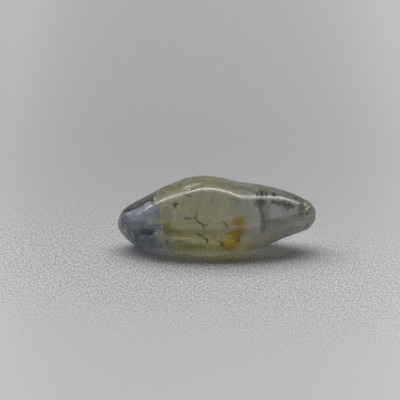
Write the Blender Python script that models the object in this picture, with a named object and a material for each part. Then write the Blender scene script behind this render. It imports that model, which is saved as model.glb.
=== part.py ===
"""A water-worn sapphire crystal: a long six-sided double pyramid whose edges the river has rounded.

+X runs along the crystal towards its blunt clear end, +Z is up and -Y is the side that faces the
photographer. The crystal lies on its flat under face, at z = 0.
"""

import math

import bmesh
import bpy
from mathutils import Matrix, Vector
from mathutils.bvhtree import BVHTree

MM = 0.001

# Overall length of the crystal, in millimetres like every length below.
LENGTH = 15.0
HALF_LENGTH = LENGTH / 2

# The crystal's long edges before wear, each given as (x, y, z) where it turns.
TOP_FRONT = (
    (-7.5, -0.40, 2.45),
    (-6.5, -0.95, 2.96),
    (-5.9, -1.20, 3.18),
    (-5.0, -1.32, 3.74),
    (-3.6, -1.55, 4.42),
    (-2.2, -1.66, 4.88),
    (-1.2, -1.58, 5.07),
    (0.0, -1.50, 5.01),
    (0.8, -1.46, 4.82),
    (1.7, -1.74, 4.54),
    (2.9, -1.62, 4.44),
    (4.1, -1.18, 4.36),
    (5.2, -0.98, 4.14),
    (6.2, -0.98, 3.74),
    (7.5, -0.55, 3.25),
)
TOP_BACK = (
    (-7.5, 0.45, 2.62),
    (-6.5, 0.95, 3.09),
    (-5.0, 1.30, 3.81),
    (-3.6, 1.45, 4.44),
    (-2.2, 1.55, 4.96),
    (-1.2, 1.60, 5.11),
    (0.0, 1.58, 5.04),
    (1.7, 1.58, 4.62),
    (4.1, 1.34, 4.36),
    (5.6, 1.05, 3.97),
    (6.6, 0.85, 3.57),
    (7.5, 0.55, 3.15),
)
MIDDLE_FRONT = (
    (-7.5, -0.85, 1.95),
    (-5.8, -2.25, 2.15),
    (-3.4, -2.95, 2.40),
    (-1.2, -3.15, 2.52),
    (1.5, -3.02, 2.58),
    (4.2, -2.45, 2.68),
    (6.6, -1.45, 2.78),
    (7.5, -1.00, 2.70),
)
MIDDLE_BACK = (
    (-7.5, 0.80, 1.90),
    (-5.8, 2.15, 2.20),
    (-3.4, 2.90, 2.45),
    (-1.0, 3.15, 2.60),
    (1.8, 2.95, 2.55),
    (4.2, 2.35, 2.60),
    (6.6, 1.40, 2.70),
    (7.5, 0.95, 2.65),
)
LOWER_FRONT = (
    (-7.5, -0.60, 1.35),
    (-6.2, -1.20, 1.00),
    (-4.3, -1.80, 1.18),
    (-1.2, -2.36, 1.15),
    (1.9, -2.34, 1.14),
    (3.4, -2.14, 1.52),
    (5.0, -1.66, 1.90),
    (6.6, -1.05, 2.25),
    (7.5, -0.70, 2.35),
)
BOTTOM_FRONT = (
    (-7.5, -0.30, 1.02),
    (-6.9, -0.45, 0.62),
    (-6.3, -0.48, 0.10),
    (-5.8, -0.50, -0.04),
    (-4.3, -0.75, -0.04),
    (-2.4, -1.60, -0.04),
    (-1.2, -1.72, -0.04),
    (1.9, -1.72, -0.04),
    (2.7, -1.30, -0.04),
    (3.5, -0.65, -0.02),
    (4.3, -0.50, 0.28),
    (5.2, -0.48, 0.66),
    (6.6, -0.42, 1.14),
    (7.5, -0.35, 1.62),
)
BOTTOM_BACK = (
    (-7.5, 0.30, 1.10),
    (-6.9, 0.42, 0.66),
    (-6.3, 0.45, 0.12),
    (-5.8, 0.50, -0.04),
    (-4.3, 0.80, -0.04),
    (-2.4, 1.50, -0.04),
    (1.7, 1.60, -0.04),
    (2.7, 1.20, -0.04),
    (3.5, 0.65, -0.02),
    (4.3, 0.52, 0.30),
    (5.2, 0.50, 0.70),
    (7.5, 0.35, 1.68),
)

# How far the wear reaches from each sharp edge, in the order of EDGES, and the most of a face's
# width that it takes.
EDGES = (TOP_FRONT, MIDDLE_FRONT, LOWER_FRONT, BOTTOM_FRONT, BOTTOM_BACK, MIDDLE_BACK, TOP_BACK)
WEAR = (0.38, 0.55, 0.45, 0.50, 0.50, 0.55, 0.42)
WEAR_SHARE = 0.45
ROUND_STEPS = 5

# Points closer than this are one point, in metres.
SAME_POINT = 1e-7

# Length over which each tip rounds off.
LEFT_TIP = 0.60
RIGHT_TIP = 0.65

# Growth steps: the section is this much smaller on the side away from the girth.
GROWTH_STEPS = ((-4.60, 0.03), (3.40, 0.03))
STEP_LENGTH = 0.16

# Where the sections stand: their spacing, how many round off each tip, and where they stand
# across a growth step as shares of its length.
RING_SPACING = 0.225
TIP_RINGS = 5
STEP_RINGS = (-0.5, -0.17, 0.17, 0.5)

# The height that the scoops' and pits' angles turn about.
MIDDLE_HEIGHT = 2.5

# The lying face is planed this far above the lowest point of the worn crystal.
REST_FLAT = 0.012

# Shallow scoops that knocks left, each as (x, angle, length, width, depth). The angle turns about
# the crystal's length: 0 is the front, 90 the top, 180 the back.
SCOOPS = (
    (-2.30, 63.0, 3.60, 0.95, 0.07),
    (6.55, 38.0, 0.75, 0.60, 0.06),
    (7.00, -5.0, 0.50, 0.60, 0.06),
    (6.20, 72.0, 0.80, 0.50, 0.05),
    (-6.90, 35.0, 0.60, 0.50, 0.05),
    (-5.20, 150.0, 1.50, 0.90, 0.08),
    (4.90, 185.0, 1.60, 0.90, 0.09),
    (0.60, 215.0, 1.10, 0.70, 0.06),
)
# A scoop's cutter is this many times as tall, from its middle, as the scoop is deep.
SCOOP_ROUND = 4.0
SCOOP_DETAIL = 3

# Three-sided etch pits, each as (x, angle, side, depth).
PITS = (
    (-3.11, 35.0, 0.52, 0.15),
    (-0.60, 152.0, 0.42, 0.12),
)
# How far a pit's cutter stands out of the face, and the turn that points the pit down.
PIT_STAND_OFF = 0.20
PIT_TURN = 180.0

COLOUR = (0.52, 0.56, 0.47, 1.0)
ROUGHNESS = 0.12
REFRACTIVE_INDEX = 1.77
SMOOTH_ANGLE = 40.0


def along(line, x):
    """The point of a smooth curve through the line's points at this x."""
    last = len(line) - 1
    i = 0
    while i < last - 1 and x > line[i + 1][0]:
        i += 1
    before = line[max(i - 1, 0)]
    start = line[i]
    end = line[i + 1]
    after = line[min(i + 2, last)]
    span = end[0] - start[0]
    t = (x - start[0]) / span
    found = []
    for axis in (1, 2):
        slope_in = (end[axis] - before[axis]) / (end[0] - before[0]) * span
        slope_out = (after[axis] - start[axis]) / (after[0] - start[0]) * span
        value = (2 * t**3 - 3 * t**2 + 1) * start[axis]
        value += (t**3 - 2 * t**2 + t) * slope_in
        value += (3 * t**2 - 2 * t**3) * end[axis]
        value += (t**3 - t**2) * slope_out
        found.append(value)
    return Vector((x, found[0], found[1]))


def step_drop(x):
    """How much the growth steps have taken off the section's radius at this x."""
    drop = 0.0
    for place, depth in GROWTH_STEPS:
        outward = (x - place) * math.copysign(1.0, place)
        share = min(max(outward / STEP_LENGTH + 0.5, 0.0), 1.0)
        drop += depth * share * share * (3 - 2 * share)
    return drop


def tip_scale(x):
    """The share of the section that is left where a tip rounds off."""
    left = min((x + HALF_LENGTH) / LEFT_TIP, 1.0)
    right = min((HALF_LENGTH - x) / RIGHT_TIP, 1.0)
    return math.sqrt(1 - (1 - left) ** 2) * math.sqrt(1 - (1 - right) ** 2)


def section(x):
    """The worn outline of the crystal across its length at this x."""
    corners = [along(line, x) for line in EDGES]
    middle = sum(corners, Vector()) / len(corners)
    drop = step_drop(x)
    scale = tip_scale(x)
    outline = []
    for k, corner in enumerate(corners):
        before = corners[k - 1] - corner
        after = corners[(k + 1) % len(corners)] - corner
        start = corner + before.normalized() * min(WEAR[k], WEAR_SHARE * before.length)
        end = corner + after.normalized() * min(WEAR[k], WEAR_SHARE * after.length)
        for i in range(ROUND_STEPS + 1):
            t = i / ROUND_STEPS
            outline.append(start * (1 - t) ** 2 + corner * 2 * t * (1 - t) + end * t**2)
        outline.append((corner + corners[(k + 1) % len(corners)]) / 2)
    worn = []
    for point in outline:
        arm = point - middle
        arm *= 1 - drop / arm.length
        worn.append(middle + arm * scale)
    return worn


def ring_places():
    """Where the sections stand: close together in the tips and at the growth steps."""
    places = []
    for i in range(1, TIP_RINGS + 1):
        reach = (i / (TIP_RINGS + 1)) ** 2
        places.append(-HALF_LENGTH + LEFT_TIP * reach)
        places.append(HALF_LENGTH - RIGHT_TIP * reach)
    first = -HALF_LENGTH + LEFT_TIP
    last = HALF_LENGTH - RIGHT_TIP
    count = round((last - first) / RING_SPACING)
    for i in range(count + 1):
        x = first + (last - first) * i / count
        if all(abs(x - place) > STEP_LENGTH for place, depth in GROWTH_STEPS):
            places.append(x)
    for place, depth in GROWTH_STEPS:
        for share in STEP_RINGS:
            places.append(place + STEP_LENGTH * share)
    return sorted(places)


def crystal_mesh():
    """The worn crystal: a ball's rings and spokes of points moved onto its sections."""
    sections = [section(x) for x in ring_places()]
    spokes = len(sections[0])
    bands = len(sections) + 1
    bm = bmesh.new()
    bmesh.ops.create_uvsphere(bm, u_segments=spokes, v_segments=bands, radius=1.0)
    for vert in bm.verts:
        ring = round(math.acos(max(-1.0, min(1.0, vert.co.z))) * bands / math.pi)
        spoke = round(math.atan2(vert.co.y, vert.co.x) * spokes / math.tau) % spokes
        if ring == 0:
            point = sum(sections[0], Vector()) / spokes
            point.x = -HALF_LENGTH
        elif ring == bands:
            point = sum(sections[-1], Vector()) / spokes
            point.x = HALF_LENGTH
        else:
            point = sections[ring - 1][spoke]
        vert.co = point * MM
    bmesh.ops.recalc_face_normals(bm, faces=bm.faces)
    return bm


def plane_lying_face(bm):
    """Cuts the under side to one flat face, which becomes z = 0."""
    lowest = min(vert.co.z for vert in bm.verts)
    level = lowest + REST_FLAT * MM
    bmesh.ops.bisect_plane(
        bm,
        geom=bm.verts[:] + bm.edges[:] + bm.faces[:],
        dist=SAME_POINT,
        plane_co=(0, 0, level),
        plane_no=(0, 0, -1),
        clear_outer=True,
    )
    rim = [edge for edge in bm.edges if edge.is_boundary]
    bmesh.ops.holes_fill(bm, edges=rim, sides=0)
    bmesh.ops.recalc_face_normals(bm, faces=bm.faces)
    across = [vert.co.y for vert in bm.verts]
    shift = Vector((0, -(max(across) + min(across)) / 2, -level))
    bmesh.ops.translate(bm, verts=bm.verts, vec=shift)


def crystal_material():
    material = bpy.data.materials.new("sapphire")
    material.use_nodes = True
    shader = material.node_tree.nodes["Principled BSDF"]
    shader.inputs["Base Color"].default_value = COLOUR
    shader.inputs["Roughness"].default_value = ROUGHNESS
    shader.inputs["Metallic"].default_value = 0.0
    shader.inputs["IOR"].default_value = REFRACTIVE_INDEX
    shader.inputs["Transmission Weight"].default_value = 1.0
    return material


def new_object(name, bm, collection):
    mesh = bpy.data.meshes.new(name)
    bm.to_mesh(mesh)
    bm.free()
    obj = bpy.data.objects.new(name, mesh)
    collection.objects.link(obj)
    return obj


def make_crystal(bm, collection):
    crystal = new_object("sapphire_crystal", bm, collection)
    crystal.data.materials.append(crystal_material())
    crystal.data.shade_smooth()
    crystal.data.set_sharp_from_angle(angle=math.radians(SMOOTH_ANGLE))
    return crystal


def make_cutter(crystal, name, bm, collection):
    cutter = new_object(name, bm, collection)
    cutter.hide_render = True
    cutter.display_type = "WIRE"
    cut = crystal.modifiers.new(name, "BOOLEAN")
    cut.operation = "DIFFERENCE"
    cut.solver = "EXACT"
    cut.object = cutter


def surface_frame(skin, x, angle):
    """The point of the surface at x and this angle, and a turn that takes +Z to its normal."""
    around = math.radians(angle)
    outward = Vector((0, -math.cos(around), math.sin(around)))
    middle = Vector((x, 0, MIDDLE_HEIGHT)) * MM
    point, normal, face, reach = skin.ray_cast(middle, outward)
    side = Vector((1, 0, 0)) - normal * normal.x
    side.normalize()
    turn = Matrix((side, normal.cross(side), normal)).transposed()
    return point, turn


def seat_cutter(bm, skin, x, angle, height):
    """Turns a cutter to the surface at x and this angle and lifts it by height."""
    point, turn = surface_frame(skin, x, angle)
    bmesh.ops.rotate(bm, verts=bm.verts, cent=(0, 0, 0), matrix=turn)
    bmesh.ops.translate(bm, verts=bm.verts, vec=point + turn @ Vector((0, 0, height * MM)))


def cut_scoops(crystal, skin, collection):
    for i, (x, angle, length, width, depth) in enumerate(SCOOPS):
        tall = depth * SCOOP_ROUND
        spread = 0.5 / math.sqrt(1 - (1 - 1 / SCOOP_ROUND) ** 2)
        reach = Vector((length * spread, width * spread, tall)) * MM
        bm = bmesh.new()
        bmesh.ops.create_icosphere(bm, subdivisions=SCOOP_DETAIL, radius=1.0)
        bmesh.ops.scale(bm, verts=bm.verts, vec=reach)
        seat_cutter(bm, skin, x, angle, tall - depth)
        make_cutter(crystal, f"scoop_{i + 1}", bm, collection)


def cut_pits(crystal, skin, collection):
    for i, (x, angle, side, depth) in enumerate(PITS):
        length = depth + PIT_STAND_OFF
        mouth = side / math.sqrt(3) * length / depth
        bm = bmesh.new()
        bmesh.ops.create_cone(
            bm,
            cap_ends=True,
            segments=3,
            radius1=0,
            radius2=mouth * MM,
            depth=length * MM,
        )
        bmesh.ops.remove_doubles(bm, verts=bm.verts, dist=SAME_POINT)
        bmesh.ops.recalc_face_normals(bm, faces=bm.faces)
        point_down = Matrix.Rotation(math.radians(PIT_TURN), 3, "Z")
        bmesh.ops.rotate(bm, verts=bm.verts, cent=(0, 0, 0), matrix=point_down)
        seat_cutter(bm, skin, x, angle, (PIT_STAND_OFF - depth) / 2)
        make_cutter(crystal, f"etch_pit_{i + 1}", bm, collection)


def main():
    for obj in list(bpy.data.objects):
        bpy.data.objects.remove(obj)
    stone = bpy.data.collections.new("sapphire_crystal")
    cutters = bpy.data.collections.new("cutters")
    bpy.context.scene.collection.children.link(stone)
    bpy.context.scene.collection.children.link(cutters)
    bm = crystal_mesh()
    plane_lying_face(bm)
    skin = BVHTree.FromBMesh(bm)
    crystal = make_crystal(bm, stone)
    cut_scoops(crystal, skin, cutters)
    cut_pits(crystal, skin, cutters)


if __name__ == "__main__":
    main()
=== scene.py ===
"""A water-worn sapphire crystal on a pale sheet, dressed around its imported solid."""

import math
import random
from collections import namedtuple

import bmesh
import bpy
from mathutils import Matrix, Vector, noise
from mathutils.bvhtree import BVHTree
from mathutils.kdtree import KDTree


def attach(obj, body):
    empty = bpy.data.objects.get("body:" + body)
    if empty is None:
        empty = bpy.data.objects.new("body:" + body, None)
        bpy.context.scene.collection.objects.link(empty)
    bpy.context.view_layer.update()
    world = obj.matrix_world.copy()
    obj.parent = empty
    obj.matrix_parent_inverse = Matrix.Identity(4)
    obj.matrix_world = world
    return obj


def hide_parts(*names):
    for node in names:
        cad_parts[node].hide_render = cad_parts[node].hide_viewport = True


bl_info = {
    "name": "Water-worn sapphire crystal",
    "version": (1, 0, 0),
    "blender": (4, 5, 0),
    "location": "3D View > Sidebar > Sapphire",
    "description": "Builds a water-worn sapphire crystal with its colour zones and flaws",
    "category": "Add Mesh",
}

MM = 0.001
CAD_NODE = "sapphire_crystal"
BODY = "root"

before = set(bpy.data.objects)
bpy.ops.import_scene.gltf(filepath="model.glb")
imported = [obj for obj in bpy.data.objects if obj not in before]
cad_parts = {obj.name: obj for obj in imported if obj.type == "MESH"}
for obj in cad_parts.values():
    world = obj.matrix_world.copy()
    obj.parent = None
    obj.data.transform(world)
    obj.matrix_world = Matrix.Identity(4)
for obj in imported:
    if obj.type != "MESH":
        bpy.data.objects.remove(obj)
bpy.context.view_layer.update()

# Marks are placed in the front view, which looks down at VIEW_TILT. In it, across runs to the
# right from the middle of the crystal and up runs up from where it rests; all in mm.
VIEW_TILT = math.radians(20.0)
VIEW_AXIS = Vector((0, math.cos(VIEW_TILT), -math.sin(VIEW_TILT)))
VIEW_UP = Vector((0, math.sin(VIEW_TILT), math.cos(VIEW_TILT)))

# Points of the solid nearer than this, in metres, are merged, and passes of smoothing round the
# skin's edges.
SAME_POINT = 0.001 * MM
SMOOTHING_PASSES = 45
SMOOTHING_SHARE = 0.5

# A flaw is a soft, ragged spot: its middle, half sizes, clockwise turn in degrees and strength.
Flaw = namedtuple("Flaw", "across up wide high turn strength")
# Most spots are flaws of the stone; those marked below are painted highlights, shade and reflections.
FLAWS_AND_PAINTED_LIGHT = {
    "deep_blue": (
        Flaw(-5.70, 1.62, 0.55, 0.34, 15, 0.40),
        Flaw(-6.30, 1.55, 0.30, 0.50, 25, 0.30),
        Flaw(-5.22, 1.05, 0.70, 0.40, 8, 1.00),
        Flaw(-5.74, 1.20, 0.12, 0.42, 20, 0.75),
        Flaw(-4.78, 1.12, 0.30, 0.14, 15, 0.85),
        Flaw(-6.15, 1.12, 0.17, 0.17, 0, 0.80),
        Flaw(-4.65, 1.53, 0.45, 0.09, 0, 0.55),
        Flaw(-4.39, 1.30, 0.24, 0.07, 0, 0.85),
        Flaw(-5.25, 0.61, 0.14, 0.12, 0, 0.70),
        Flaw(-4.88, 0.37, 0.14, 0.26, 10, 0.55),
        Flaw(-6.50, 0.90, 0.15, 0.42, -20, 0.60),
        Flaw(-6.08, 0.74, 0.17, 0.55, -14, 0.80),
        Flaw(-7.05, 1.64, 0.14, 0.28, 10, 0.50),
        Flaw(-5.62, 0.37, 0.75, 0.19, 0, 0.25),
    ),
    "violet": (
        Flaw(-5.02, 2.39, 0.45, 0.45, 0, 0.25),
        Flaw(-6.83, 1.34, 0.45, 0.90, 10, 0.40),
        Flaw(4.42, 3.82, 0.30, 0.22, 0, 0.60),
        Flaw(4.95, 2.73, 0.26, 0.26, 0, 0.40),
        Flaw(-6.15, 2.99, 0.67, 0.30, -25, 0.50),
        Flaw(-7.05, 2.10, 0.26, 0.45, 10, 0.45),
    ),
    "pale_blue": (
        Flaw(-6.00, 2.13, 0.53, 0.22, -20, 0.60),
        Flaw(-5.25, 1.42, 0.22, 0.15, 0, 0.35),
        Flaw(-6.30, 0.78, 0.10, 0.42, -16, 0.60),
        # The pale eye on the clear end: a painted reflection of the far faces.
        Flaw(4.50, 2.39, 0.38, 0.34, 0, 0.70),
        Flaw(2.77, 0.71, 0.30, 0.24, 0, 0.60),
        Flaw(-5.02, 2.69, 0.60, 0.19, -25, 0.40),
    ),
    "teal": (
        Flaw(1.50, 2.77, 0.67, 0.53, 0, 0.50),
        Flaw(1.43, 3.37, 0.67, 0.26, 12, 0.30),
        Flaw(0.22, 3.07, 0.60, 0.45, 0, 0.15),
    ),
    "mauve": (
        Flaw(-4.35, 0.93, 0.34, 0.32, 0, 1.00),
        Flaw(-4.22, 0.42, 0.34, 0.40, -10, 1.00),
        Flaw(-6.90, 1.12, 0.14, 0.41, 10, 0.50),
        Flaw(2.77, 1.49, 0.38, 0.60, 0, 0.60),
    ),
    "grey_green": (
        Flaw(-4.42, 2.32, 0.18, 0.38, -10, 0.50),
        Flaw(-3.82, 2.28, 0.42, 0.44, 0, 0.42),
        Flaw(-5.40, 3.44, 0.60, 0.26, -30, 0.70),
        Flaw(-4.27, 3.89, 0.45, 0.30, -20, 0.50),
    ),
    "yellow": (
        Flaw(-1.72, 1.12, 1.95, 0.75, 0, 0.50),
        Flaw(-0.10, -0.10, 0.60, 0.25, 0, 0.60),
        Flaw(-0.22, -0.04, 0.67, 0.22, 0, 0.85),
        Flaw(-2.40, 0.74, 0.60, 0.30, 0, 0.60),
        Flaw(-0.82, 0.97, 0.38, 0.22, 0, 0.50),
        Flaw(-1.27, 1.79, 1.05, 0.45, 0, 0.30),
        Flaw(-2.02, 4.64, 0.90, 0.30, 0, 0.40),
        Flaw(-0.53, 4.72, 0.53, 0.30, 0, 0.25),
        Flaw(3.97, 0.75, 0.75, 0.48, 0, 0.70),
    ),
    "olive": (
        Flaw(-3.66, 1.27, 0.32, 0.50, -10, 1.00),
        Flaw(-3.15, 1.10, 0.52, 0.24, 0, 0.70),
        Flaw(-2.85, 0.30, 0.55, 0.14, 0, 0.60),
        Flaw(-3.49, 0.67, 0.22, 0.10, 0, 0.75),
        Flaw(-1.95, -0.04, 1.25, 0.24, 0, 0.60),
        Flaw(3.52, 4.19, 0.45, 0.38, 0, 0.50),
        Flaw(-1.65, 4.91, 1.05, 0.30, 0, 0.60),
        Flaw(-3.07, 4.42, 0.67, 0.38, -20, 0.60),
        Flaw(2.48, -0.08, 0.45, 0.22, 0, 0.30),
    ),
    "cream": (
        Flaw(-3.45, 0.41, 0.34, 0.18, 10, 0.80),
        Flaw(-2.38, 1.99, 0.10, 0.07, 0, 0.80),
        Flaw(-1.76, 0.86, 0.13, 0.07, 0, 0.95),
        # Painted highlight on the lit lower edge of the clear end.
        Flaw(5.47, 1.53, 1.20, 0.30, -18, 1.00),
        Flaw(4.05, 0.72, 0.80, 0.40, -15, 0.45),
        Flaw(3.07, 2.09, 0.08, 0.45, 0, 0.50),
        Flaw(0.92, 1.80, 0.24, 0.14, -10, 0.90),
        Flaw(1.16, 0.11, 0.07, 0.07, 0, 0.90),
        Flaw(6.95, 2.10, 0.50, 1.00, 0, 0.80),
        # The next four are painted glints on the grains at the clear tip.
        Flaw(6.71, 2.71, 0.11, 0.10, 0, 1.00),
        Flaw(6.98, 3.02, 0.10, 0.10, 0, 1.00),
        Flaw(7.12, 2.03, 0.12, 0.10, 0, 1.00),
        Flaw(6.74, 2.24, 0.10, 0.10, 0, 0.90),
        Flaw(-0.90, 0.89, 0.34, 0.12, 20, 0.50),
        # Painted highlight on the lit side of the groove across the left ridge.
        Flaw(-4.65, 3.52, 0.10, 0.24, 0, 0.70),
        # The next two are painted highlights that widen the light along the upper ridge, the first
        # over a frosted stretch.
        Flaw(-3.07, 3.74, 1.20, 0.32, -12, 1.00),
        Flaw(0.15, 4.04, 1.05, 0.12, 3, 0.40),
    ),
    "rust": (
        Flaw(1.66, 1.78, 0.45, 0.40, 5, 0.95),
        Flaw(1.66, 1.16, 0.38, 0.62, 8, 1.00),
        Flaw(1.42, 0.58, 0.36, 0.38, 20, 0.90),
        Flaw(0.98, -0.19, 0.40, 0.26, 0, 0.75),
        Flaw(1.27, 1.80, 0.34, 0.20, 0, 0.60),
        Flaw(0.60, -0.10, 0.30, 0.20, 0, 0.70),
    ),
    "amber": (
        Flaw(1.16, 1.00, 0.34, 0.48, 0, 0.90),
        Flaw(0.85, 0.28, 0.52, 0.36, -20, 1.00),
        Flaw(1.38, 0.12, 0.34, 0.28, 0, 0.75),
        Flaw(6.66, 2.95, 0.24, 0.30, 0, 0.35),
    ),
    "dark_rust": (
        Flaw(0.34, 0.17, 0.13, 0.30, -15, 1.00),
        Flaw(1.24, 1.19, 0.07, 0.18, 0, 0.60),
        Flaw(1.50, 0.41, 0.22, 0.10, -30, 0.60),
        Flaw(0.67, -0.23, 0.15, 0.07, 20, 0.50),
    ),
    "smoke": (
        Flaw(-0.38, 3.44, 0.09, 0.38, 0, 0.35),
        Flaw(-1.80, 0.59, 0.15, 0.11, 0, 0.40),
        Flaw(3.20, 3.25, 0.40, 0.40, 0, 0.90),
        Flaw(3.50, 3.95, 0.80, 0.28, 0, 0.45),
        Flaw(3.62, 2.84, 0.38, 0.70, 0, 0.45),
        Flaw(3.70, 1.90, 0.26, 0.60, 0, 0.30),
        Flaw(6.30, 2.84, 0.27, 0.60, 0, 0.65),
        Flaw(4.50, 1.79, 0.67, 0.20, 0, 0.45),
        Flaw(1.35, 3.44, 0.60, 0.18, 15, 0.35),
        Flaw(5.92, 2.09, 0.53, 0.30, -10, 0.25),
        Flaw(6.52, 1.27, 0.45, 0.15, -20, 0.30),
        Flaw(2.17, 3.93, 0.20, 0.19, 0, 0.45),
        Flaw(-3.82, 2.84, 0.13, 0.12, 0, 0.60),
        Flaw(2.02, 4.49, 0.60, 0.22, 0, 0.20),
        Flaw(-0.53, 1.87, 0.15, 0.15, 0, 0.35),
        Flaw(-0.15, 0.67, 0.10, 0.22, 0, 0.35),
    ),
    "ink": (
        Flaw(-5.80, 2.98, 0.30, 0.14, -12, 0.80),
        # Painted shade in the groove across the left ridge.
        Flaw(-4.86, 3.44, 0.09, 0.32, 5, 0.95),
        Flaw(3.22, 3.22, 0.32, 0.34, 0, 0.50),
        # Painted shade in the four grooves above the right ridge.
        Flaw(3.00, 3.86, 0.08, 0.24, 0, 0.95),
        Flaw(3.34, 3.90, 0.10, 0.34, 0, 1.00),
        Flaw(3.71, 3.86, 0.08, 0.26, 0, 1.00),
        Flaw(4.26, 3.84, 0.11, 0.32, 0, 0.95),
        # The next two paint a dark band under the right ridge: a painted reflection of the far faces.
        Flaw(4.65, 3.24, 0.70, 0.20, 3, 0.80),
        Flaw(5.30, 3.04, 0.58, 0.22, 12, 0.85),
        Flaw(5.27, 2.77, 0.07, 0.22, 0, 0.70),
        Flaw(5.92, 3.59, 0.14, 0.10, 0, 0.80),
        Flaw(6.79, 2.46, 0.07, 0.07, 0, 0.80),
        Flaw(6.56, 2.86, 0.08, 0.10, 0, 0.60),
        Flaw(4.42, 0.37, 0.20, 0.10, -15, 0.40),
        Flaw(-3.34, 4.47, 0.09, 0.06, 0, 0.70),
        Flaw(-2.89, 4.55, 0.10, 0.05, 0, 0.70),
        Flaw(-2.55, 4.83, 0.07, 0.08, 0, 0.60),
    ),
}

# A crack is a thin broken line through points across and up, with its half width and strength.
Crack = namedtuple("Crack", "points half strength")
UPPER_BAND = ((-4.30, 4.05), (-3.20, 4.42), (-1.90, 4.80), (-0.60, 4.80), (0.90, 4.60))
# Most lines are cracks and bands; those marked below are painted shade and highlights.
CRACKS_AND_PAINTED_LIGHT = {
    "smoke": (
        Crack(((3.18, 3.20), (3.34, 2.60), (3.42, 1.95), (3.46, 1.20)), 0.19, 0.85),
        Crack(((-6.95, 2.75), (-6.25, 3.05), (-5.50, 3.48), (-4.85, 3.80)), 0.32, 0.75),
        # The next four paint a thin dark line along the top edge: painted shade where the edge turns
        # away.
        Crack(((-6.67, 2.92), (-6.22, 3.22), (-5.77, 3.52), (-5.02, 3.97), (-4.27, 4.28)), 0.07, 0.55),
        Crack(((-4.27, 4.28), (-3.67, 4.51), (-2.77, 4.92), (-2.02, 5.07), (-0.90, 5.15)), 0.06, 0.75),
        Crack(((-0.90, 5.15), (0.22, 5.05), (1.35, 4.82), (2.48, 4.64), (3.60, 4.46)), 0.06, 0.65),
        Crack(((3.60, 4.46), (4.72, 4.16), (5.85, 3.79), (6.60, 3.37), (7.12, 2.84)), 0.07, 0.60),
    ),
    "ink": (
        Crack(((-6.90, 2.62), (-6.35, 2.72), (-5.85, 2.96), (-5.35, 3.26), (-4.95, 3.52)), 0.11, 0.80),
        Crack(((-2.48, 2.03), (-2.32, 2.15), (-2.17, 2.06), (-1.84, 2.07)), 0.06, 0.80),
        Crack(((-1.50, 2.47), (-1.61, 2.21), (-1.60, 2.02)), 0.06, 0.70),
        Crack(((-1.52, 1.92), (-1.37, 1.79), (-1.20, 1.67), (-1.00, 1.58), (-1.01, 1.34)), 0.07, 1.00),
        Crack(((-0.78, 1.66), (-0.78, 1.42)), 0.06, 0.70),
        Crack(((-1.46, 0.87), (-1.27, 0.85), (-1.12, 0.71), (-0.90, 0.59)), 0.06, 0.90),
        Crack(((-0.90, 0.59), (-0.71, 0.46), (-0.71, 0.26)), 0.07, 1.00),
        Crack(((0.30, 1.87), (0.44, 1.72)), 0.07, 0.60),
        Crack(((0.60, 1.85), (0.67, 1.61), (0.78, 1.34)), 0.07, 0.85),
        # Painted shadow under the ledge on the upper face.
        Crack(((-1.95, 4.22), (-1.57, 4.34), (-1.05, 4.46)), 0.05, 0.70),
        Crack(((-2.55, 3.87), (-2.25, 3.82), (-1.96, 3.70)), 0.06, 0.80),
        Crack(((-4.20, 4.30), (-3.90, 4.42), (-3.64, 4.52)), 0.06, 0.90),
    ),
    "dark_rust": (
        Crack(((-4.02, 1.68), (-3.90, 1.12), (-3.81, 0.52), (-3.66, -0.01)), 0.06, 0.90),
    ),
    "grey_green": (
        Crack(UPPER_BAND, 0.42, 0.55),
        Crack(((0.90, 4.55), (2.20, 4.30), (3.60, 4.12), (5.00, 3.85), (6.20, 3.35)), 0.40, 0.75),
    ),
    "olive": (
        Crack(UPPER_BAND, 0.40, 0.30),
    ),
    "cream": (
        # Painted highlight along the ledge's rim on the upper face.
        Crack(((-2.55, 4.33), (-2.25, 4.45), (-1.88, 4.54), (-1.27, 4.69)), 0.07, 0.90),
    ),
}

# Frosted patches, where the skin is rubbed rough, and their soft edge in half sizes.
FROST = (
    Flaw(-3.10, 3.74, 1.25, 0.36, -12, 0.80),
    Flaw(-5.90, 2.70, 1.10, 0.34, -25, 2.20),
    Flaw(-0.60, 4.02, 1.80, 0.22, 2, 0.35),
    Flaw(2.90, 3.65, 1.60, 0.26, 0, 0.85),
    Flaw(-1.90, 4.48, 0.90, 0.26, -15, 0.50),
    Flaw(6.95, 2.50, 0.50, 1.20, 0, 0.25),
    Flaw(3.60, 0.50, 1.60, 0.55, -12, 0.80),
    Flaw(5.47, 1.53, 1.20, 0.28, -18, 1.00),
    Flaw(-6.90, 1.60, 0.50, 1.10, 10, 0.30),
    Flaw(-4.35, 0.70, 0.50, 0.60, 0, 0.80),
    Flaw(-1.50, 0.60, 2.40, 0.60, 0, 0.50),
)
FROST_EDGE = (0.6, 1.2)

# The three-sided etch pit: the middle, height and half width of its top edge, its tip, how its
# sides lean, where its rim falls and its depth.
PIT_ACROSS = -3.11
PIT_TOP = 3.24
PIT_HALF = 0.28
PIT_TIP = 2.70
PIT_LEAN = 0.88
PIT_RIM = (-0.02, 0.12)
PIT_DEPTH = 0.15

# A groove runs straight up the front: where it is, from where to where, half width and depth,
# and how long all of them take to start and end.
Groove = namedtuple("Groove", "across low high half depth")
GROOVES = (
    Groove(-4.87, 3.05, 3.85, 0.13, 0.060),
    Groove(3.00, 3.68, 4.20, 0.09, 0.025),
    Groove(3.34, 3.66, 4.30, 0.11, 0.045),
    Groove(3.71, 3.68, 4.20, 0.09, 0.030),
    Groove(4.24, 3.68, 4.15, 0.08, 0.025),
)
GROOVE_START = 0.12
GROOVE_END = 0.2

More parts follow.
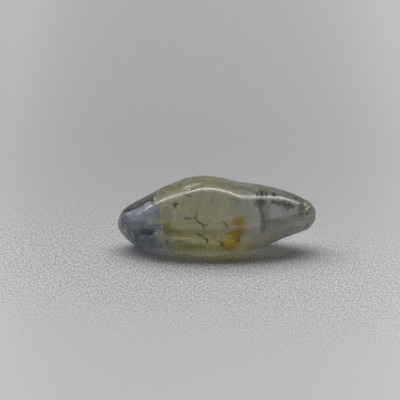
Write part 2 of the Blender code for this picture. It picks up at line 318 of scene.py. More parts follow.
# The ledge on the upper face: a point of its edge, the edge's slope, where the ledge starts and
# ends across, how its rim rises about the edge and its height.
LEDGE_POINT = (-2.55, 4.33)
LEDGE_SLOPE = 0.27
LEDGE_START = (-3.0, -2.4)
LEDGE_END = (-1.4, -0.6)
LEDGE_RIM = (-0.05, 0.08)
LEDGE_HEIGHT = 0.028

# A grain stands up from the front and sparkles: its place, radius and height.
Grain = namedtuple("Grain", "across up radius height")
GRAINS = (
    Grain(6.71, 2.71, 0.11, 0.060),
    Grain(6.98, 3.02, 0.10, 0.050),
    Grain(7.07, 3.26, 0.09, 0.045),
    Grain(7.12, 2.03, 0.11, 0.060),
    Grain(6.74, 2.24, 0.09, 0.045),
    Grain(6.85, 1.76, 0.09, 0.045),
    Grain(-6.80, 2.32, 0.13, 0.050),
    Grain(-4.66, 3.17, 0.11, 0.040),
)

# Noise vectors turn another way each time Blender starts, unless they have a seed.
NOISE_SEED = 3

# How the skin is worn, in mm. A wave is how often it turns in a mm and its height; the heights of
# WORN_WAVES are shares of the waviness. GROWTH_LINES is how often the lines turn along each axis.
WORN_WAVES = ((0.8, 1.0), (2.1, 0.5))
FINE_WAVES = ((6.5, 0.0016),)
FROST_WAVES = ((4.7, 0.006), (9.5, 0.004))
GROWTH_LINES = Vector((4.2, 0.5, 0.5))
GROWTH_LINE_HEIGHT = 0.0025

# Flat chips at the tips: how many in a mm, what turns them, how deep they lie and how far they
# lean. They grow in between two places along the crystal, and are lower at the blue tip.
CHIP_PACE = 2.8
CHIP_TURN = 5.3
CHIP_SINK = 0.030
CHIP_LEAN = 0.42
CLEAR_TIP = (6.1, 6.8)
BLUE_TIP = (6.6, 7.3)
BLUE_TIP_SHARE = 0.5

# Scattered pits: the share of them kept in the middle and where all are kept, their radius in mm
# and their depth in radii.
SCATTER_SEED = 11
SCATTER_SHARE = 0.35
SCATTER_SPREAD = (3.0, 7.0)
SCATTER_RADIUS = (0.08, 0.17)
SCATTER_SINK = (0.12, 0.30)

# What tears the marks' edges: waves that move them in mm, and waves that eat into them.
TEAR_PUSH = ((3.5, 0.05), (9.0, 0.02))
TEAR_BITE = ((4.5, 0.18), (11.0, 0.10))

# A mark narrower than this has thin edges, each as softness and share of the bite.
THIN_MARK = 0.12
THIN_EDGE = (0.30, 1.0)
WIDE_EDGE = (0.45, 1.7)

# A mark reaches into the stone MARK_REACH times its longer half size, within these depths. One
# that is more than CRACK_SHAPE times as wide as high is a crack.
MARK_REACH = 3.0
LEAST_DEPTH = 0.3
FLAW_DEPTH = 0.9
CRACK_SHAPE = 3.0
CRACK_DEPTH = 0.35

# How far out a mark's points are looked for, in parts of its longest half size, and from how far
# in front of the crystal its place is looked for.
SEARCH_REACH = 1.5
VIEW_START = 20

# A ramp goes smoothly from start to end while a value goes from low to high.
Ramp = namedtuple("Ramp", "low high start end", defaults=(0.0, 1.0))

# A pattern is a noise: how often it turns in a mm, or in a metre on the sheet, and how finely.
Pattern = namedtuple("Pattern", "scale detail roughness", defaults=(0.5,))

# The stone's light: its index and the share that goes through the skin.
REFRACTIVE_INDEX = 1.77
CLEAR_SHARE = 0.66

# Zones along the crystal: how their borders lean and are torn, in mm.
COARSE = Pattern(1.1, 3.0)
FINE = Pattern(4.5, 3.0)
BORDER_LEAN = 0.23
BORDER_TEAR = 0.6
BORDER_TEAR_BEHIND = 4.0
BLUE_BORDER = Ramp(-3.72, -3.52)
CLEAR_BORDER = Ramp(1.2, 4.0)
CLEAR_TEAR = 1.2
YELLOW_TOP = Ramp(2.2, 3.2, 1.0, 0.0)
YELLOW_TEAR = 2.6
YELLOW_SHARE = 0.75

# Smoky streaks that lean, and the speckle that breaks up every mark.
STREAKS = Pattern(1.6, 3.0)
STREAK_STRETCH = (2.6, 0.6, 0.45)
STREAK_LEAN = 25
STREAK_SMOKE = Ramp(0.38, 0.66, 0.0, 0.16)
SPECKLE = Pattern(9.0, 3.0, 0.65)
SPECKLE_SHARE = Ramp(0.30, 0.60, 0.75, 1.05)

# Rust veins and dark specks on the side away from the camera.
BEHIND = Ramp(0.2, 0.8)
VEINS = Pattern(0.9, 3.0, 0.6)
VEIN_MIDDLE = 0.47
VEIN_WIDTH = Ramp(0.004, 0.014, 0.8, 0.0)
VEIN_PLACES = Ramp(0.0, 0.12)
SPECKS = Pattern(3.4, 2.0, 0.6)
SPECK_SHARE = Ramp(0.70, 0.74, 0.0, 0.8)

# Light and dark mottling, and painted light that brightens the low faces.
MOTTLE = Pattern(5.5, 5.0, 0.68)
MOTTLE_LIGHT = Ramp(0.34, 0.66, 0.78, 1.02)
LOW_FACE_PAINTED_LIGHT = Ramp(1.0, 2.2, 0.10, 0.0)

# Roughness of the skin: rubbed all over, more in frosted patches, behind and low down.
RUBBING = Pattern(2.4, 4.0, 0.6)
RUBBED = Ramp(0.40, 0.65, 0.09, 0.19)
FROSTED = 0.30
BACK_HAZE = Ramp(-0.2, 0.8, 0.0, 0.22)
HAZE_MIDDLE = -0.6
HAZE_FADE = Ramp(2.6, 4.0, 1.0, 0.45)
LOW_HAZE = Ramp(0.9, 1.5, 0.24, 0.0)

# Fine relief of the skin.
RELIEF = Pattern(16.0, 3.0, 0.6)
RELIEF_SHARE = 0.6
RELIEF_STRENGTH = 0.35
RELIEF_DEPTH = 0.01 * MM

# The sheet, in metres. Its grain fades before and behind the crystal, along a line that leans.
SHEET_ROUGHNESS = 0.75
SHEET_GRAIN = Pattern(7500.0, 2.0, 0.7)
SHEET_STRETCH = (1.0, 0.42, 1.0)
FOCUS_LEAN = 0.165
GRAIN_BEFORE = Ramp(-0.025, -0.006, 0.1, 1.0)
GRAIN_BEHIND = Ramp(-0.006, 0.013, 1.0, 0.04)
GRAIN_SPREAD = 3.0
GRAIN_STRENGTH = 0.3
GRAIN_DEPTH = 0.02 * MM

# Painted light and shade on the sheet: its colour is brighter towards the front, a little towards the
# right, and away from a middle line.
FRONT_PAINTED_LIGHT = Ramp(-0.040, 0.028, 1.34, 0.82)
RIGHT_PAINTED_LIGHT = Ramp(-0.022, 0.022, -0.05, 0.05)
MIDDLE_LINE = -0.0008
SIDE_REACH = 0.0144
SIDE_LIMIT = 1.1
SIDE_POWER = 3.0
SIDE_PAINTED_LIGHT = 0.16

# The pale wall: how high it reaches and how far round, as parts of a direction.
WALL_TOP = Ramp(0.15, 0.45, 1.0, 0.0)
WALL_SIDES = Ramp(-0.35, 0.65)

# The picture's side, and where the crystal's origin lies in it from the top left; in pixels.
PICTURE_SIDE = 400
ORIGIN_PIXEL = (217, 245.9)

# The camera's sensor in mm, and the nearest distance that it sees in metres.
SENSOR_WIDTH = 36
CLIP_START = 0.01


def colour_property(label, use, colour):
    """A colour that a user can change."""
    return bpy.props.FloatVectorProperty(
        name=label, description=use, default=colour, subtype="COLOR", min=0.0, max=1.0
    )


def length_property(label, use, length, precision=3):
    """A length in metres that a user can change."""
    return bpy.props.FloatProperty(
        name=label, description=use, default=length, unit="LENGTH", precision=precision
    )


class CrystalSettings(bpy.types.PropertyGroup):
    """Sizes of the crystal's skin."""

    grain: length_property(
        "Surface grain", "Side of the small squares that the skin is made of", 0.057 * MM, 6
    )
    waviness: length_property("Waviness", "How far the worn faces rise and fall", 0.012 * MM, 6)
    pit_count: bpy.props.IntProperty(
        name="Pits", description="Small pits scattered over the skin", default=150, min=0
    )


class CrystalColours(bpy.types.PropertyGroup):
    """Tints of the crystal's zones and flaws, and of its painted highlights and shade."""

    clear: colour_property("Clear end", "Grey-green of the clear end", (0.88, 0.90, 0.84))
    beige: colour_property("Middle", "Grey-beige of the middle", (0.88, 0.85, 0.70))
    blue: colour_property("Blue end", "Blue zone at the left end", (0.66, 0.73, 0.90))
    yellow: colour_property("Yellow", "Yellow-green zone low in the middle", (0.96, 0.90, 0.42))
    olive: colour_property("Olive", "Darker green bands", (0.34, 0.34, 0.04))
    deep_blue: colour_property("Deep blue", "Darkest blue", (0.03, 0.05, 0.12))
    violet: colour_property("Violet", "Dull violet patches", (0.24, 0.23, 0.38))
    # Pale blue also paints a pale reflection on the clear end.
    pale_blue: colour_property("Pale blue", "Milky blue", (0.80, 0.86, 0.98))
    teal: colour_property("Teal", "Bluish green patches", (0.50, 0.64, 0.60))
    mauve: colour_property("Mauve", "Pinkish grey patches", (1.00, 0.96, 1.00))
    grey_green: colour_property("Grey-green", "Duller patches", (0.32, 0.35, 0.26))
    # Cream also paints highlights along the ridges, ledge and lower edge, and glints on the grains.
    cream: colour_property("Cream", "Pale veils and specks", (1.00, 0.98, 0.86))
    rust: colour_property("Rust", "Iron stain", (0.62, 0.32, 0.02))
    amber: colour_property("Amber", "Thin iron stain", (0.92, 0.64, 0.02))
    dark_rust: colour_property("Dark rust", "Thick iron stain", (0.18, 0.08, 0.00))
    # Smoke also paints the thin dark line of shade along the top edge.
    smoke: colour_property("Smoke", "Dark veils", (0.16, 0.16, 0.12))
    # Ink also paints shade in the pit and grooves, the ledge's shadow and a dark reflection under the
    # right ridge.
    ink: colour_property("Ink", "Cracks and pits", (0.02, 0.022, 0.018))
    body: colour_property("Body", "Colour that deep stone turns the light", (0.72, 0.72, 0.60))
    body_density: bpy.props.FloatProperty(
        name="Body density",
        description="How fast the stone takes light, per metre",
        default=25.0,
        min=0.0,
    )


class StageSettings(bpy.types.PropertyGroup):
    """The sheet that the crystal lies on, its light and the camera."""

    sheet_side: length_property("Sheet side", "Side of the pale sheet", 1.6)
    sheet_colour: colour_property("Sheet", "Colour of the pale sheet", (0.66, 0.66, 0.665))
    room_colour: colour_property("Room", "Light of the dim room", (0.038, 0.038, 0.041))
    wall_colour: colour_property("Wall", "Light of the wall behind", (0.20, 0.20, 0.203))
    light_width: length_property("Light width", "Width of the soft light", 0.62)
    light_depth: length_property("Light depth", "Depth of the soft light", 0.24)
    light_place: bpy.props.FloatVectorProperty(
        name="Light place",
        description="Middle of the soft light",
        default=(-0.08, 0.19, 0.30),
        subtype="TRANSLATION",
        unit="LENGTH",
    )
    light_power: bpy.props.FloatProperty(
        name="Light power", description="Power of the soft light", default=1.33, unit="POWER"
    )
    camera_elevation: bpy.props.FloatProperty(
        name="Camera elevation",
        description="Height of the camera above the horizon",
        default=VIEW_TILT,
        subtype="ANGLE",
    )
    camera_distance: length_property("Camera distance", "From the crystal", 0.300)
    frame_width: length_property("Frame width", "Width of the picture at the crystal", 30.0 * MM)


def window(value, middle, half):
    """One at the middle, falling smoothly to nothing at half either side."""
    share = (value - middle) / half
    return (1.0 - share * share) ** 2 if abs(share) < 1.0 else 0.0


def step_up(value, low, high):
    """Nothing below low, one above high and smooth between them."""
    share = min(max((value - low) / (high - low), 0.0), 1.0)
    return share * share * (3.0 - 2.0 * share)


def noise_sum(place, waves):
    """Noise of several waves, each with its pace and height."""
    return sum(height * noise.noise(place * pace) for pace, height in waves)


def new_material(name):
    """A material with its node tree and shader."""
    material = bpy.data.materials.new(name)
    material.use_nodes = True
    return material, material.node_tree, material.node_tree.nodes["Principled BSDF"]


def fill_socket(tree, socket, value):
    """Links a node's output to a socket, or sets the socket to a value."""
    if isinstance(value, bpy.types.NodeSocket):
        tree.links.new(value, socket)
    elif value is not None:
        socket.default_value = value


def math_node(tree, operation, first, second=None, third=None):
    """One operation on up to three numbers or outputs."""
    node = tree.nodes.new("ShaderNodeMath")
    node.operation = operation
    for socket, value in zip(node.inputs, (first, second, third)):
        fill_socket(tree, socket, value)
    return node.outputs[0]


def ramp_node(tree, value, ramp):
    """A smooth step of value from one end of the ramp to the other."""
    node = tree.nodes.new("ShaderNodeMapRange")
    node.interpolation_type = "SMOOTHSTEP"
    node.clamp = False
    names = ("Value", "From Min", "From Max", "To Min", "To Max")
    for name, number in zip(names, (value, *ramp)):
        fill_socket(tree, node.inputs[name], number)
    return node.outputs["Result"]


def noise_node(tree, place, pattern):
    """Noise from nothing to one at a place."""
    node = tree.nodes.new("ShaderNodeTexNoise")
    tree.links.new(place, node.inputs["Vector"])
    node.inputs["Scale"].default_value = pattern.scale
    node.inputs["Detail"].default_value = pattern.detail
    node.inputs["Roughness"].default_value = pattern.roughness
    return node.outputs["Fac"]


def centred_noise(tree, place, pattern):
    """Noise about zero, half a unit at most either way."""
    return math_node(tree, "SUBTRACT", noise_node(tree, place, pattern), 0.5)


def scaled_node(tree, vector, scale):
    """A vector or colour times a number."""
    node = tree.nodes.new("ShaderNodeVectorMath")
    node.operation = "SCALE"
    fill_socket(tree, node.inputs[0], vector)
    fill_socket(tree, node.inputs["Scale"], scale)
    return node.outputs["Vector"]


def stretch_node(tree, place, scale, lean=0):
    """A place stretched along each axis and leaned about Y by some degrees."""
    node = tree.nodes.new("ShaderNodeMapping")
    tree.links.new(place, node.inputs["Vector"])
    node.inputs["Scale"].default_value = scale
    node.inputs["Rotation"].default_value = (0, math.radians(lean), 0)
    return node.outputs["Vector"]


def split_place(tree, place):
    """The x, y and z of a place."""
    node = tree.nodes.new("ShaderNodeSeparateXYZ")
    tree.links.new(place, node.inputs[0])
    return node.outputs["X"], node.outputs["Y"], node.outputs["Z"]


def mix_colour(tree, factor, first, second):
    """The first colour where the factor is nothing and the second where it is one."""
    node = tree.nodes.new("ShaderNodeMix")
    node.data_type = "RGBA"
    fill_socket(tree, node.inputs[0], factor)
    for socket, value in ((node.inputs[6], first), (node.inputs[7], second)):
        linked = isinstance(value, bpy.types.NodeSocket)
        fill_socket(tree, socket, value if linked else (*value, 1.0))
    return node.outputs[2]


def mark_node(tree, name):
    """How strongly a tint or the frost was painted on the skin."""
    node = tree.nodes.new("ShaderNodeAttribute")
    node.attribute_name = name
    return node.outputs["Fac"]


def add_relief(tree, shader, height, strength, depth):
    """Bumps the shader's normal by a height."""
    bump = tree.nodes.new("ShaderNodeBump")
    bump.inputs["Strength"].default_value = strength
    bump.inputs["Distance"].default_value = depth
    tree.links.new(height, bump.inputs["Height"])
    tree.links.new(bump.outputs["Normal"], shader.inputs["Normal"])


def crystal_skin(settings):
    """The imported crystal's mesh in mm, merged, made of even small squares and smoothed."""
    source = bpy.data.meshes.new("crystal_source")
    bm = bmesh.new()
    bm.from_mesh(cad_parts[CAD_NODE].data)
    bmesh.ops.remove_doubles(bm, verts=bm.verts, dist=SAME_POINT)
    bmesh.ops.scale(bm, verts=bm.verts, vec=(1 / MM, 1 / MM, 1 / MM))
    bm.to_mesh(source)
    bm.free()
    helper = bpy.data.objects.new("crystal_source", source)
    bpy.context.scene.collection.objects.link(helper)
    remesh = helper.modifiers.new("even", "REMESH")
    remesh.mode = "VOXEL"
    remesh.voxel_size = settings.grain / MM
    remesh.adaptivity = 0.0
    graph = bpy.context.evaluated_depsgraph_get()
    bm = bmesh.new()
    bm.from_mesh(helper.evaluated_get(graph).data)
    bpy.data.objects.remove(helper)
    for _ in range(SMOOTHING_PASSES):
        bmesh.ops.smooth_vert(
            bm,
            verts=bm.verts,
            factor=SMOOTHING_SHARE,
            use_axis_x=True,
            use_axis_y=True,
            use_axis_z=True,
        )
    bm.normal_update()
    return bm


def front_view(place):
    """Where a place lies across and up in the front view."""
    return place.x, place.dot(VIEW_UP)


def surface_spot(tree, across, up):
    """The point of the skin that the front view shows there, or the nearest to it, in mm."""
    middle = Vector((across, 0, 0)) + VIEW_UP * up
    shown = tree.ray_cast(middle - VIEW_AXIS * VIEW_START, VIEW_AXIS)[0]
    return shown or tree.find_nearest(middle)[0]


def pit_depth(across, up):
    """Depth of the three-sided pit, flat inside and steep at its sides."""
    below_top = PIT_TOP - up
    side = PIT_HALF * (up - PIT_TIP) / (PIT_TOP - PIT_TIP)
    inside = min(below_top, (side - abs(across - PIT_ACROSS)) * PIT_LEAN)
    return PIT_DEPTH * step_up(inside, *PIT_RIM)


def groove_depth(across, up):
    """Depth of the grooves at a place of the front view."""
    depth = 0.0
    for groove in GROOVES:
        if abs(across - groove.across) < groove.half:
            reach = step_up(up, groove.low, groove.low + GROOVE_START)
            reach *= 1.0 - step_up(up, groove.high - GROOVE_END, groove.high)
            depth += groove.depth * reach * window(across, groove.across, groove.half)
    return depth


def ledge_height(across, up):
    """A low step on the upper face, its lower side towards the ridge."""
    edge = LEDGE_POINT[1] + LEDGE_SLOPE * (across - LEDGE_POINT[0])
    reach = step_up(across, *LEDGE_START) * (1.0 - step_up(across, *LEDGE_END))
    return LEDGE_HEIGHT * reach * step_up(up, edge + LEDGE_RIM[0], edge + LEDGE_RIM[1])


def grain_height(across, up):
    """Height of the grains at a place of the front view."""
    height = 0.0
    for grain in GRAINS:
        off = math.hypot(across - grain.across, up - grain.up)
        height += grain.height * window(off, 0.0, grain.radius)
    return height


def frost_reach(across, up):
    """How rubbed the skin is at a place of the front view."""
    reach = 0.0
    for spot in FROST:
        share = math.hypot((across - spot.across) / spot.wide, (up - spot.up) / spot.high)
        reach = max(reach, spot.strength * (1.0 - step_up(share, *FROST_EDGE)))
    return reach


def chip_depth(place):
    """Depth of small flat chips that turn this way and that, about a third of a mm wide."""
    middle = noise.voronoi(place * CHIP_PACE)[1][0]
    lean = noise.noise_vector(middle * CHIP_TURN)
    return max(0.0, CHIP_SINK + CHIP_LEAN * lean.dot(place - middle / CHIP_PACE))


def wear_faces(bm, waviness):
    """Lifts and sinks the skin as growth and river wear leave it; mm."""
    for vert in bm.verts:
        place = vert.co
        height = waviness * noise_sum(place, WORN_WAVES)
        height += GROWTH_LINE_HEIGHT * noise.noise(place * GROWTH_LINES)
        height += noise_sum(place, FINE_WAVES)
        tip = step_up(place.x, *CLEAR_TIP) + BLUE_TIP_SHARE * step_up(-place.x, *BLUE_TIP)
        if tip:
            height -= tip * chip_depth(place)
        if vert.normal.dot(VIEW_AXIS) < 0:
            across, up = front_view(place)
            height -= pit_depth(across, up) + groove_depth(across, up)
            height += ledge_height(across, up) + grain_height(across, up)
            frost = frost_reach(across, up)
            if frost:
                height += frost * noise_sum(place, FROST_WAVES)
        vert.co += vert.normal * height


def scatter_pits(bm, count):
    """Small round pits here and there, more of them towards the tips; mm."""
    chance = random.Random(SCATTER_SEED)
    bm.verts.ensure_lookup_table()
    tree = KDTree(len(bm.verts))
    for vert in bm.verts:
        tree.insert(vert.co, vert.index)
    tree.balance()
    placed = 0
    while placed < count:
        middle = bm.verts[chance.randrange(len(bm.verts))]
        more = step_up(abs(middle.co.x), *SCATTER_SPREAD)
        if chance.random() > SCATTER_SHARE + (1.0 - SCATTER_SHARE) * more:
            continue
        placed += 1
        radius = chance.uniform(*SCATTER_RADIUS)
        sink = middle.normal * radius * chance.uniform(*SCATTER_SINK)
        for _, index, distance in tree.find_range(middle.co, radius):
            bm.verts[index].co -= sink * window(distance, 0.0, radius)


def crack_flaws(cracks):
    """Thin flaws end to end along each crack."""
    for crack in cracks:
        for (x0, up0), (x1, up1) in zip(crack.points, crack.points[1:]):
            wide = math.hypot(x1 - x0, up1 - up0) / 2 + crack.half
            turn = math.degrees(math.atan2(up0 - up1, x1 - x0))
            middle = (x0 + x1) / 2, (up0 + up1) / 2
            yield Flaw(*middle, wide, crack.half, turn, crack.strength)


def torn_places(bm):
    """The skin's points moved as the marks' edges are torn, and the bite at each; mm."""
    bm.verts.ensure_lookup_table()
    torn = KDTree(len(bm.verts))
    bites = []
    for vert in bm.verts:
        place = vert.co
        push = sum((far * noise.noise_vector(place * pace) for pace, far in TEAR_PUSH), Vector())
        torn.insert(place + push, vert.index)
        bites.append(noise_sum(place, TEAR_BITE))
    torn.balance()
    return torn, bites


def paint_flaw(bm, layer, flaw, skin, torn, bites):
    """Adds one flaw to a layer of the skin's points."""
    middle = surface_spot(skin, flaw.across, flaw.up)
    turn = Matrix.Rotation(math.radians(-flaw.turn), 3, "Y") @ Matrix.Rotation(VIEW_TILT, 3, "X")
    longest = max(flaw.wide, flaw.high)
    deepest = CRACK_DEPTH if flaw.wide > CRACK_SHAPE * flaw.high else FLAW_DEPTH
    deep = min(max(MARK_REACH * longest, LEAST_DEPTH), deepest)
    thin = min(flaw.wide, flaw.high) < THIN_MARK
    softness, bite = THIN_EDGE if thin else WIDE_EDGE
    for place, index, _ in torn.find_range(middle, SEARCH_REACH * max(longest, deep)):
        local = turn @ (place - middle)
        share = Vector((local.x / flaw.wide, local.y / deep, local.z / flaw.high)).length
        share += bite * bites[index]
        mask = 1.0 - step_up(share, 1.0 - softness, 1.0 + softness)
        vert = bm.verts[index]
        vert[layer] = max(vert[layer], flaw.strength * mask)


def paint_marks(bm):
    """Stores on the skin's points how strongly each tint and the frost show there."""
    skin = BVHTree.FromBMesh(bm)
    torn, bites = torn_places(bm)
    marks = {tint: [*flaws, *crack_flaws(CRACKS_AND_PAINTED_LIGHT.get(tint, ()))] for tint, flaws in FLAWS_AND_PAINTED_LIGHT.items()}
    for name, flaws in {**marks, "frost": FROST}.items():
        layer = bm.verts.layers.float.new(name)
        # The pit is painted dark with ink, darkest where it is deepest: painted shade in its hollow.
        if name == "ink":
            for vert in bm.verts:
                if vert.normal.dot(VIEW_AXIS) < 0:
                    vert[layer] = pit_depth(*front_view(vert.co)) / PIT_DEPTH
        for flaw in flaws:
            paint_flaw(bm, layer, flaw, skin, torn, bites)


def zone_colour(tree, along, z, coarse, settings):
    """The blue, middle, yellow and clear zones."""
    past_blue = ramp_node(tree, along, BLUE_BORDER)
    torn = math_node(tree, "MULTIPLY_ADD", coarse, CLEAR_TEAR, along)
    to_clear = ramp_node(tree, torn, CLEAR_BORDER)
    height = math_node(tree, "MULTIPLY_ADD", coarse, YELLOW_TEAR, z)
    low = math_node(tree, "MULTIPLY", ramp_node(tree, height, YELLOW_TOP), YELLOW_SHARE)
    colour = mix_colour(tree, low, settings.beige, settings.yellow)
    colour = mix_colour(tree, to_clear, colour, settings.clear)
    return mix_colour(tree, past_blue, settings.blue, colour)


def marked_colour(tree, place, colour, settings):
    """The colour with smoky streaks and the painted marks over it, some of them painted highlights and
    shade.
    """
    leaned = stretch_node(tree, place, STREAK_STRETCH, STREAK_LEAN)
    shade = ramp_node(tree, noise_node(tree, leaned, STREAKS), STREAK_SMOKE)
    colour = mix_colour(tree, shade, colour, settings.smoke)
    speckle = ramp_node(tree, noise_node(tree, place, SPECKLE), SPECKLE_SHARE)
    for tint in FLAWS_AND_PAINTED_LIGHT:
        mask = math_node(tree, "MULTIPLY", mark_node(tree, tint), speckle)
        colour = mix_colour(tree, mask, colour, getattr(settings, tint))
    return colour


def back_colour(tree, place, coarse, behind, colour, settings):
    """The colour with thin rust veins and dark specks over it on the side behind."""
    veins = math_node(tree, "SUBTRACT", noise_node(tree, place, VEINS), VEIN_MIDDLE)
    veins = ramp_node(tree, math_node(tree, "ABSOLUTE", veins), VEIN_WIDTH)
    veins = math_node(tree, "MULTIPLY", veins, ramp_node(tree, coarse, VEIN_PLACES))
    specks = ramp_node(tree, noise_node(tree, place, SPECKS), SPECK_SHARE)
    for mask, tint in ((veins, settings.rust), (specks, settings.smoke)):
        colour = mix_colour(tree, math_node(tree, "MULTIPLY", mask, behind), colour, tint)
    return colour


def skin_roughness(tree, place, x, y, z):
    """How rubbed the skin is all over, in its frosted patches, behind and low down."""
    rough = ramp_node(tree, noise_node(tree, place, RUBBING), RUBBED)
    rough = math_node(tree, "MULTIPLY_ADD", mark_node(tree, "frost"), FROSTED, rough)
    off_middle = math_node(tree, "ABSOLUTE", math_node(tree, "SUBTRACT", x, HAZE_MIDDLE))
    fade = ramp_node(tree, off_middle, HAZE_FADE)
    hazy = math_node(tree, "MULTIPLY", ramp_node(tree, y, BACK_HAZE), fade)
    rough = math_node(tree, "ADD", rough, hazy)
    return math_node(tree, "ADD", rough, ramp_node(tree, z, LOW_HAZE))


def crystal_material(settings):
    """Glassy stone with colour zones, flaws, painted highlights and shade, and painted light on its
    low faces; places inside are in millimetres.
    """
    material, tree, shader = new_material("sapphire")
    shader.inputs["IOR"].default_value = REFRACTIVE_INDEX
    shader.inputs["Transmission Weight"].default_value = CLEAR_SHARE
    coordinates = tree.nodes.new("ShaderNodeTexCoord")
    place = scaled_node(tree, coordinates.outputs["Object"], 1 / MM)
    x, y, z = split_place(tree, place)
    coarse = centred_noise(tree, place, COARSE)
    behind = ramp_node(tree, y, BEHIND)

    along = math_node(tree, "MULTIPLY_ADD", z, BORDER_LEAN, x)
    along = math_node(tree, "MULTIPLY_ADD", centred_noise(tree, place, FINE), BORDER_TEAR, along)
    stray = math_node(tree, "MULTIPLY", coarse, behind)
    along = math_node(tree, "MULTIPLY_ADD", stray, BORDER_TEAR_BEHIND, along)
    colour = zone_colour(tree, along, z, coarse, settings)
    colour = marked_colour(tree, place, colour, settings)
    colour = back_colour(tree, place, coarse, behind, colour, settings)

    mottle = noise_node(tree, place, MOTTLE)
    # Mottled tone, plus painted light that brightens the low faces.
    light = math_node(
        tree, "ADD", ramp_node(tree, mottle, MOTTLE_LIGHT), ramp_node(tree, z, LOW_FACE_PAINTED_LIGHT)
    )
    tree.links.new(scaled_node(tree, colour, light), shader.inputs["Base Color"])
    tree.links.new(skin_roughness(tree, place, x, y, z), shader.inputs["Roughness"])
    relief = noise_node(tree, place, RELIEF)
    relief = math_node(tree, "MULTIPLY_ADD", relief, RELIEF_SHARE, mottle)
    add_relief(tree, shader, relief, RELIEF_STRENGTH, RELIEF_DEPTH)

    absorb = tree.nodes.new("ShaderNodeVolumeAbsorption")
    absorb.inputs["Color"].default_value = (*settings.body, 1)
    absorb.inputs["Density"].default_value = settings.body_density
    tree.links.new(absorb.outputs[0], tree.nodes["Material Output"].inputs["Volume"])
    return material


def sheet_grain(tree, place, x, y):
    """The sheet's grain about zero, which shows only near the crystal."""
    grain = centred_noise(tree, stretch_node(tree, place, SHEET_STRETCH), SHEET_GRAIN)
    focus = math_node(tree, "MULTIPLY_ADD", x, FOCUS_LEAN, y)
    before = ramp_node(tree, focus, GRAIN_BEFORE)
    behind = ramp_node(tree, focus, GRAIN_BEHIND)
    return math_node(tree, "MULTIPLY", grain, math_node(tree, "MULTIPLY", before, behind))


def sheet_material(settings):
    """Matt paper with a fine grain and painted light: its colour is brighter towards the front and the
    sides.
    """
    material, tree, shader = new_material("pale sheet")
    shader.inputs["Roughness"].default_value = SHEET_ROUGHNESS
    place = tree.nodes.new("ShaderNodeTexCoord").outputs["Object"]
    x, y, _ = split_place(tree, place)
    grain = sheet_grain(tree, place, x, y)
    # Painted light and shade: brighter towards the front, to the right and away from the middle line.
    side = math_node(tree, "ABSOLUTE", math_node(tree, "SUBTRACT", x, MIDDLE_LINE))
    side = math_node(tree, "MINIMUM", math_node(tree, "DIVIDE", side, SIDE_REACH), SIDE_LIMIT)
    side = math_node(tree, "POWER", side, SIDE_POWER)
    light = ramp_node(tree, y, FRONT_PAINTED_LIGHT)
    light = math_node(tree, "ADD", light, ramp_node(tree, x, RIGHT_PAINTED_LIGHT))
    light = math_node(tree, "MULTIPLY_ADD", side, SIDE_PAINTED_LIGHT, light)
    light = math_node(tree, "MULTIPLY_ADD", grain, GRAIN_SPREAD, light)
    colour = scaled_node(tree, tuple(settings.sheet_colour), light)
    tree.links.new(colour, shader.inputs["Base Color"])
    add_relief(tree, shader, grain, GRAIN_STRENGTH, GRAIN_DEPTH)
    return material


def room_light(settings):
    """A dim room with a paler wall low down behind the crystal."""
    world = bpy.data.worlds.new("room")
    world.use_nodes = True
    tree = world.node_tree
    direction = tree.nodes.new("ShaderNodeTexCoord").outputs["Generated"]
    _, y, z = split_place(tree, direction)
    low = ramp_node(tree, z, WALL_TOP)
    wall = math_node(tree, "MULTIPLY", low, ramp_node(tree, y, WALL_SIDES))
    colour = mix_colour(tree, wall, settings.room_colour, settings.wall_colour)
    tree.links.new(colour, tree.nodes["Background"].inputs["Color"])
    return world


def finished_piece(name, bm, material):
    """A new object at the origin from a mesh in metres, which it uses up."""
    mesh = bpy.data.meshes.new(name)
    bm.to_mesh(mesh)
    bm.free()
    mesh.materials.append(material)
    mesh.shade_smooth()
    piece = bpy.data.objects.new(name, mesh)
    bpy.context.scene.collection.objects.link(piece)
    return piece


def hang_light(settings):
    """The soft light above and behind the crystal."""
    light = bpy.data.lights.new("softbox", "AREA")
    light.shape = "RECTANGLE"
    light.size = settings.light_width
    light.size_y = settings.light_depth
    light.energy = settings.light_power
    lamp = bpy.data.objects.new("softbox", light)
    lamp.location = settings.light_place
    level = Vector((0, settings.light_place.y, settings.light_place.z))
    lamp.rotation_euler = level.to_track_quat("Z", "Y").to_euler()
    bpy.context.scene.collection.objects.link(lamp)


def aim_camera(settings):
    """The camera, placed so that the crystal lies in the picture as in the photograph."""
    tilt = settings.camera_elevation
    back = Vector((0, -math.cos(tilt), math.sin(tilt)))
    pixel = settings.frame_width / PICTURE_SIDE
    across = (PICTURE_SIDE / 2 - ORIGIN_PIXEL[0]) * pixel
    up = (ORIGIN_PIXEL[1] - PICTURE_SIDE / 2) * pixel
    target = Vector((across, 0, up / math.cos(tilt)))
    camera = bpy.data.cameras.new("camera")
    camera.sensor_width = SENSOR_WIDTH
    camera.lens = SENSOR_WIDTH * settings.camera_distance / settings.frame_width
    camera.clip_start = CLIP_START
    eye = bpy.data.objects.new("camera", camera)
    eye.location = target + back * settings.camera_distance
    eye.rotation_euler = back.to_track_quat("Z", "Y").to_euler()
    bpy.context.scene.collection.objects.link(eye)
    bpy.context.scene.camera = eye


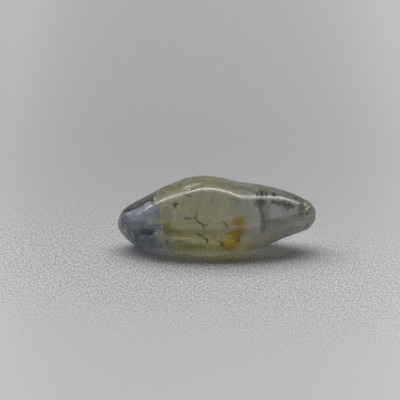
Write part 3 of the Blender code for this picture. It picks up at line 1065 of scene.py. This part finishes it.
class SAPPHIRE_OT_stage(bpy.types.Operator):
    """Lays the pale sheet, hangs the soft light and sets the camera."""

    bl_idname = "sapphire.stage"
    bl_label = "Stage"

    def execute(self, context):
        settings = context.scene.sapphire_stage
        bm = bmesh.new()
        bmesh.ops.create_grid(bm, x_segments=2, y_segments=2, size=settings.sheet_side / 2)
        sheet = finished_piece("pale_sheet", bm, sheet_material(settings))
        hang_light(settings)
        aim_camera(settings)
        context.scene.world = room_light(settings)
        context.scene.view_settings.view_transform = "Standard"
        return {"FINISHED"}


class SAPPHIRE_OT_crystal(bpy.types.Operator):
    """Builds the crystal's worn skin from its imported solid."""

    bl_idname = "sapphire.crystal"
    bl_label = "Crystal"

    def execute(self, context):
        scene = context.scene
        noise.seed_set(NOISE_SEED)
        bm = crystal_skin(scene.sapphire_crystal)
        wear_faces(bm, scene.sapphire_crystal.waviness / MM)
        scatter_pits(bm, scene.sapphire_crystal.pit_count)
        paint_marks(bm)
        bmesh.ops.scale(bm, verts=bm.verts, vec=(MM, MM, MM))
        crystal = finished_piece("crystal", bm, crystal_material(scene.sapphire_colours))
        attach(crystal, BODY)
        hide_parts(CAD_NODE)
        return {"FINISHED"}


class SAPPHIRE_PT_panel(bpy.types.Panel):
    """Lists the operators that build the crystal and its stage."""

    bl_label = "Sapphire"
    bl_idname = "SAPPHIRE_PT_panel"
    bl_space_type = "VIEW_3D"
    bl_region_type = "UI"
    bl_category = "Sapphire"

    def draw(self, context):
        for kind in OPERATORS:
            self.layout.operator(kind.bl_idname)


OPERATORS = (SAPPHIRE_OT_stage, SAPPHIRE_OT_crystal)
CLASSES = (CrystalSettings, CrystalColours, StageSettings, *OPERATORS, SAPPHIRE_PT_panel)


def register():
    """Adds the settings, the operators and the panel to Blender."""
    for kind in CLASSES:
        bpy.utils.register_class(kind)
    bpy.types.Scene.sapphire_crystal = bpy.props.PointerProperty(type=CrystalSettings)
    bpy.types.Scene.sapphire_colours = bpy.props.PointerProperty(type=CrystalColours)
    bpy.types.Scene.sapphire_stage = bpy.props.PointerProperty(type=StageSettings)


def unregister():
    """Takes them out again."""
    del bpy.types.Scene.sapphire_stage
    del bpy.types.Scene.sapphire_colours
    del bpy.types.Scene.sapphire_crystal
    for kind in reversed(CLASSES):
        bpy.utils.unregister_class(kind)


def main():
    """Builds the stage and the crystal."""
    register()
    bpy.ops.sapphire.stage()
    bpy.ops.sapphire.crystal()


if __name__ == "__main__":
    main()
